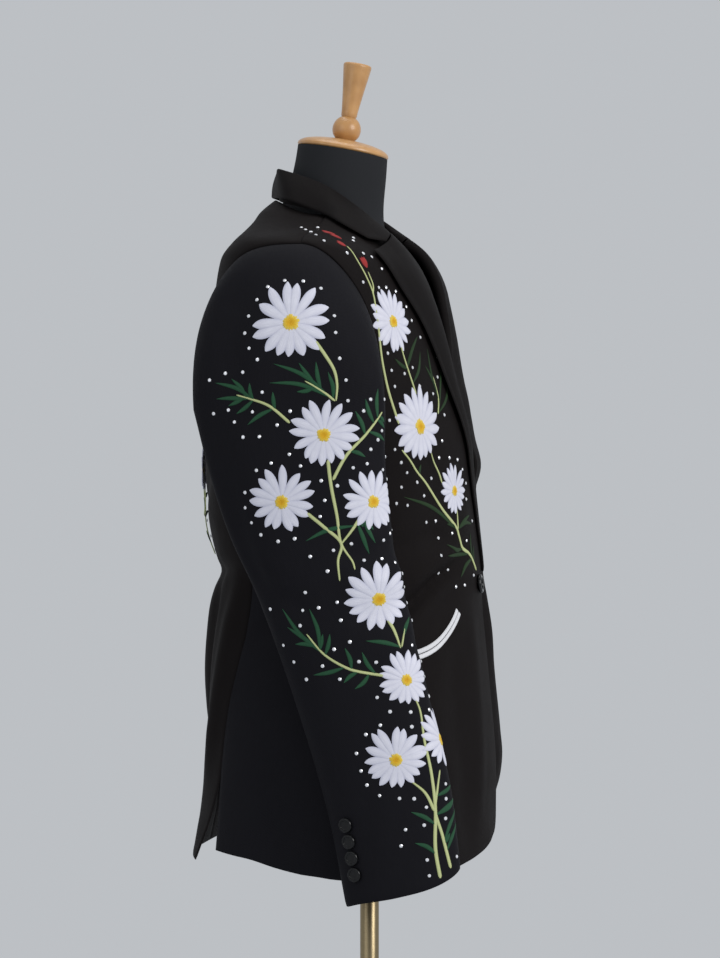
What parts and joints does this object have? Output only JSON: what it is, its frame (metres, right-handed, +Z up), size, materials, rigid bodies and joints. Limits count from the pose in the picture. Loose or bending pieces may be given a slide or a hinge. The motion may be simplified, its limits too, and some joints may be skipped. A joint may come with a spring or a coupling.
{
  "type": "western suit jacket on dress form",
  "caption": "Fitted dark western suit jacket with curved piped pockets, notched lapels and side vents, worn on a limbless dress form with a wooden cap and a round base.",
  "frame": {"origin": "on the floor under the pole's axis, at the middle of the round base's underside", "axes": "+Z up; the wearer faces -Y; the wearer's left is +X and right is -X"},
  "size_m": [0.5672, 0.41, 1.6442],
  "materials": {
    "suiting": "matte fine wool cloth, near black",
    "piping": "white satin piping",
    "button": "polished black",
    "form_jersey": "black jersey, matte",
    "form_wood": "varnished light wood",
    "stand_brass": "satin brass",
    "petal_thread": "white satin-stitch thread",
    "centre_thread": "yellow thread with an orange ring",
    "stem_thread": "yellow-green satin-stitch thread",
    "leaf_thread": "dark green satin-stitch thread",
    "bud_thread": "red satin-stitch thread",
    "stone": "small clear stones on a bright backing"
  },
  "bodies": {
    "root": {"back_left": "suiting", "back_right": "suiting", "collar": "suiting", "cuff_button_left_1": "button", "cuff_button_left_2": "button", "cuff_button_left_3": "button", "cuff_button_left_4": "button", "cuff_button_right_1": "button", "cuff_button_right_2": "button", "cuff_button_right_3": "button", "cuff_button_right_4": "button", "form_cap": "form_wood", "form_finial": "form_wood", "form_torso": "form_jersey", "front_button": "button", "front_left": "suiting", "front_right": "suiting", "lapel_left": "suiting", "lapel_right": "suiting", "pocket_welt_lower_left": "piping", "pocket_welt_lower_right": "piping", "pocket_welt_upper_left": "piping", "pocket_welt_upper_right": "piping", "side_panel_left": "suiting", "side_panel_right": "suiting", "sleeve_under_left": "suiting", "sleeve_under_right": "suiting", "sleeve_upper_left": "suiting", "sleeve_upper_right": "suiting", "stand_base": "stand_brass", "stand_pole": "stand_brass"}
  },
  "joints": []
}
